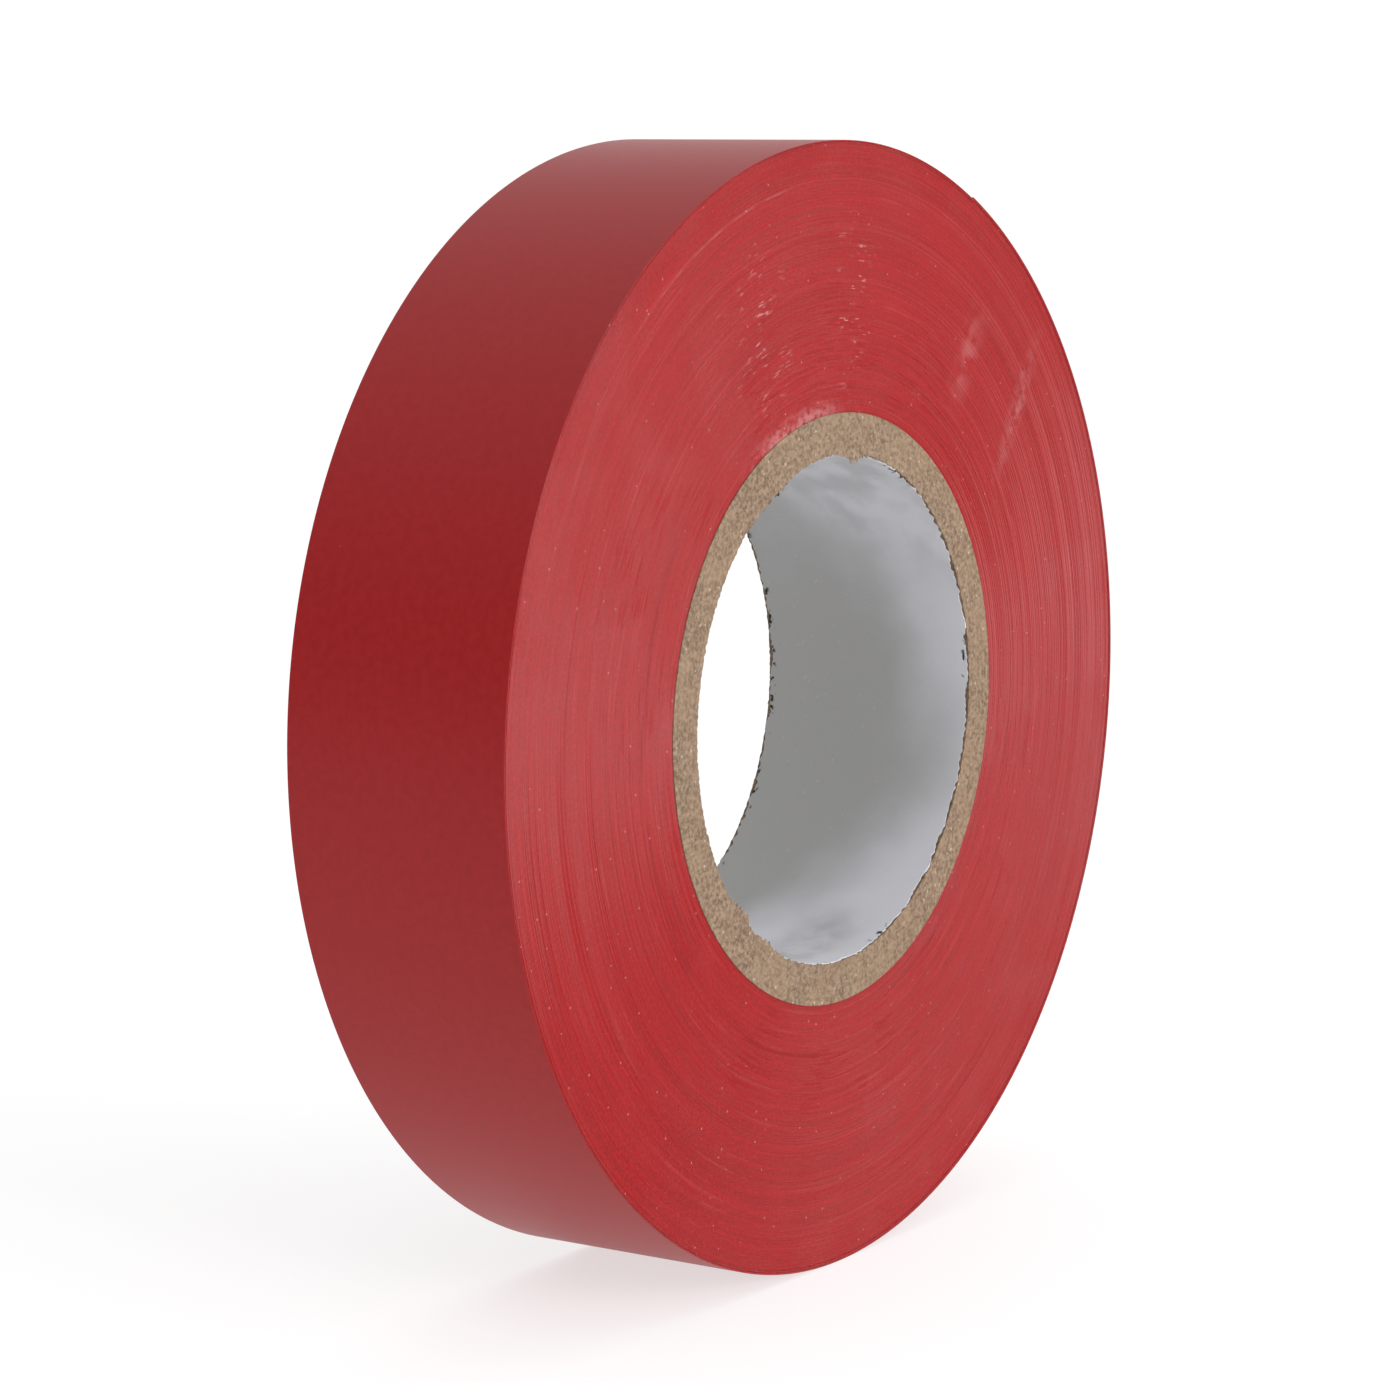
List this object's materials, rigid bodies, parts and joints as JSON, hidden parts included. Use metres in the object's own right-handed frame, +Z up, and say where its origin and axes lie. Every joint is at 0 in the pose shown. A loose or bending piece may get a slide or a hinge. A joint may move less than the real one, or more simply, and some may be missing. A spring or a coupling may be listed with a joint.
{
  "type": "electrical tape roll",
  "caption": "Roll of soft PVC insulating tape wound on a paper-lined cardboard core, standing on its rim, with a free end that peels off.",
  "frame": {"origin": "on the surface that the roll stands on, under its axis and midway across its width", "axes": "+Z up, +Y along the roll's axis, +X horizontal across the roll, on the side where the tape's free end lies"},
  "size_m": [0.0863, 0.019, 0.0863],
  "materials": {
    "tape_film": "satin",
    "core_board": "matte",
    "liner_paper": "matte"
  },
  "bodies": {
    "roll": {"core_liner": "liner_paper", "core_ply_1": "core_board", "core_ply_2": "core_board", "core_ply_3": "core_board", "core_ply_4": "core_board", "core_ply_5": "core_board", "core_ply_6": "core_board", "tape_winding": "tape_film", "tape_outer_turn": "tape_film"},
    "tail_1": {"tape_tail_1": "tape_film"},
    "tail_2": {"tape_tail_2": "tape_film"},
    "tail_3": {"tape_tail_3": "tape_film"},
    "tail_4": {"tape_tail_4": "tape_film"},
    "tail_5": {"tape_tail_5": "tape_film"},
    "tail_6": {"tape_tail_6": "tape_film"},
    "tail_7": {"tape_tail_7": "tape_film"},
    "tail_8": {"tape_tail_8": "tape_film"}
  },
  "joints": [
    {"name": "tail_peel", "type": "hinge", "parent": "roll", "child": "tail_1", "pos_m": [0.04174, 0, 0.05436], "axis": [0, 1, 0], "range_deg": [0, 25]},
    {"name": "tail_curl_2", "type": "hinge", "parent": "tail_1", "child": "tail_2", "pos_m": [0.04035, 0, 0.05866], "axis": [0, 1, 0], "range_deg": [0, 22]},
    {"name": "tail_curl_3", "type": "hinge", "parent": "tail_2", "child": "tail_3", "pos_m": [0.03851, 0, 0.0628], "axis": [0, 1, 0], "range_deg": [0, 18]},
    {"name": "tail_curl_4", "type": "hinge", "parent": "tail_3", "child": "tail_4", "pos_m": [0.03625, 0, 0.06672], "axis": [0, 1, 0], "range_deg": [0, 14]},
    {"name": "tail_curl_5", "type": "hinge", "parent": "tail_4", "child": "tail_5", "pos_m": [0.03359, 0, 0.07038], "axis": [0, 1, 0], "range_deg": [0, 11]},
    {"name": "tail_curl_6", "type": "hinge", "parent": "tail_5", "child": "tail_6", "pos_m": [0.03057, 0, 0.07374], "axis": [0, 1, 0], "range_deg": [0, 9]},
    {"name": "tail_curl_7", "type": "hinge", "parent": "tail_6", "child": "tail_7", "pos_m": [0.02721, 0, 0.07677], "axis": [0, 1, 0], "range_deg": [0, 7]},
    {"name": "tail_curl_8", "type": "hinge", "parent": "tail_7", "child": "tail_8", "pos_m": [0.02355, 0, 0.07943], "axis": [0, 1, 0], "range_deg": [0, 6]}
  ],
  "couplings": [
    {"joint": "tail_curl_2", "follows": "tail_peel", "ratio": 0.88},
    {"joint": "tail_curl_3", "follows": "tail_peel", "ratio": 0.72},
    {"joint": "tail_curl_4", "follows": "tail_peel", "ratio": 0.56},
    {"joint": "tail_curl_5", "follows": "tail_peel", "ratio": 0.44},
    {"joint": "tail_curl_6", "follows": "tail_peel", "ratio": 0.36},
    {"joint": "tail_curl_7", "follows": "tail_peel", "ratio": 0.28},
    {"joint": "tail_curl_8", "follows": "tail_peel", "ratio": 0.24}
  ]
}
